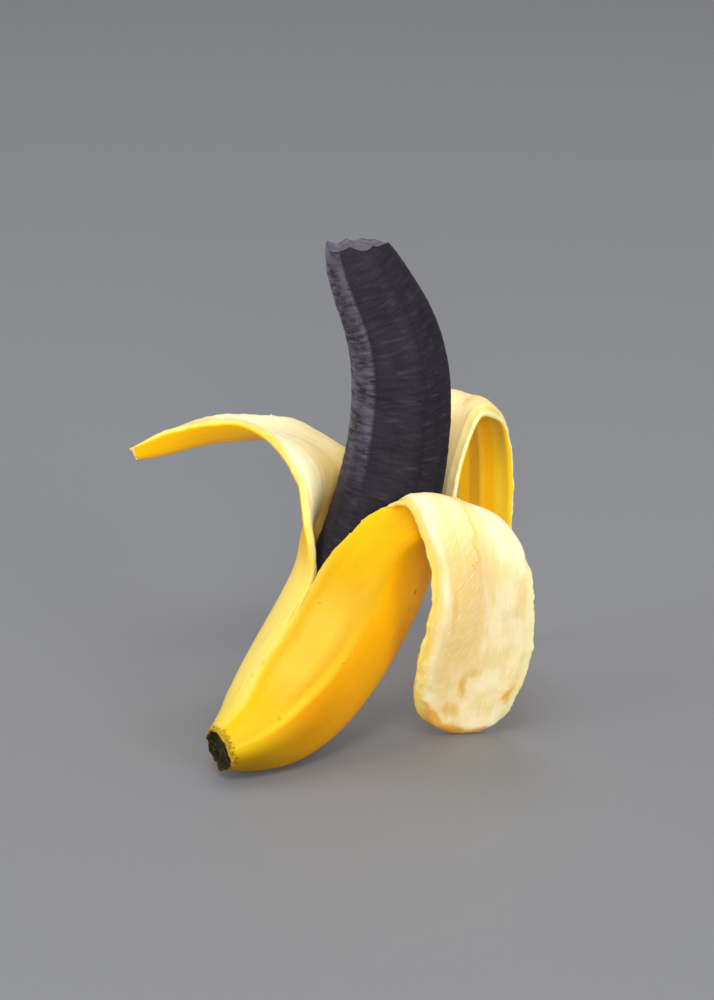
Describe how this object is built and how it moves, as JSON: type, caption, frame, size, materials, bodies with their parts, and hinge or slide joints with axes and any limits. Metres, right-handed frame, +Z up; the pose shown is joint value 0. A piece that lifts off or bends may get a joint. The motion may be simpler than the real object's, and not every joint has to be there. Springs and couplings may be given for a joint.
{
  "type": "peeled plantain",
  "caption": "Half-peeled ripe plantain with dark flesh, a bitten flat top and its yellow peel folded down in strips.",
  "frame": {"origin": "on the floor, under the middle of the whole", "axes": "+Z up, the bitten top highest; -Y is the front, where one peel strip hangs; +X is the viewer's right, the side that the fruit leans towards"},
  "size_m": [0.1496, 0.1418, 0.1871],
  "materials": {
    "peel": "waxy yellow skin with brown scratches, cream and fibrous inside",
    "flesh": "moist dark violet-grey flesh with fine cross ripples, paler on the bite"
  },
  "bodies": {
    "root": {"peel": "peel", "flesh": "flesh"}
  },
  "joints": []
}
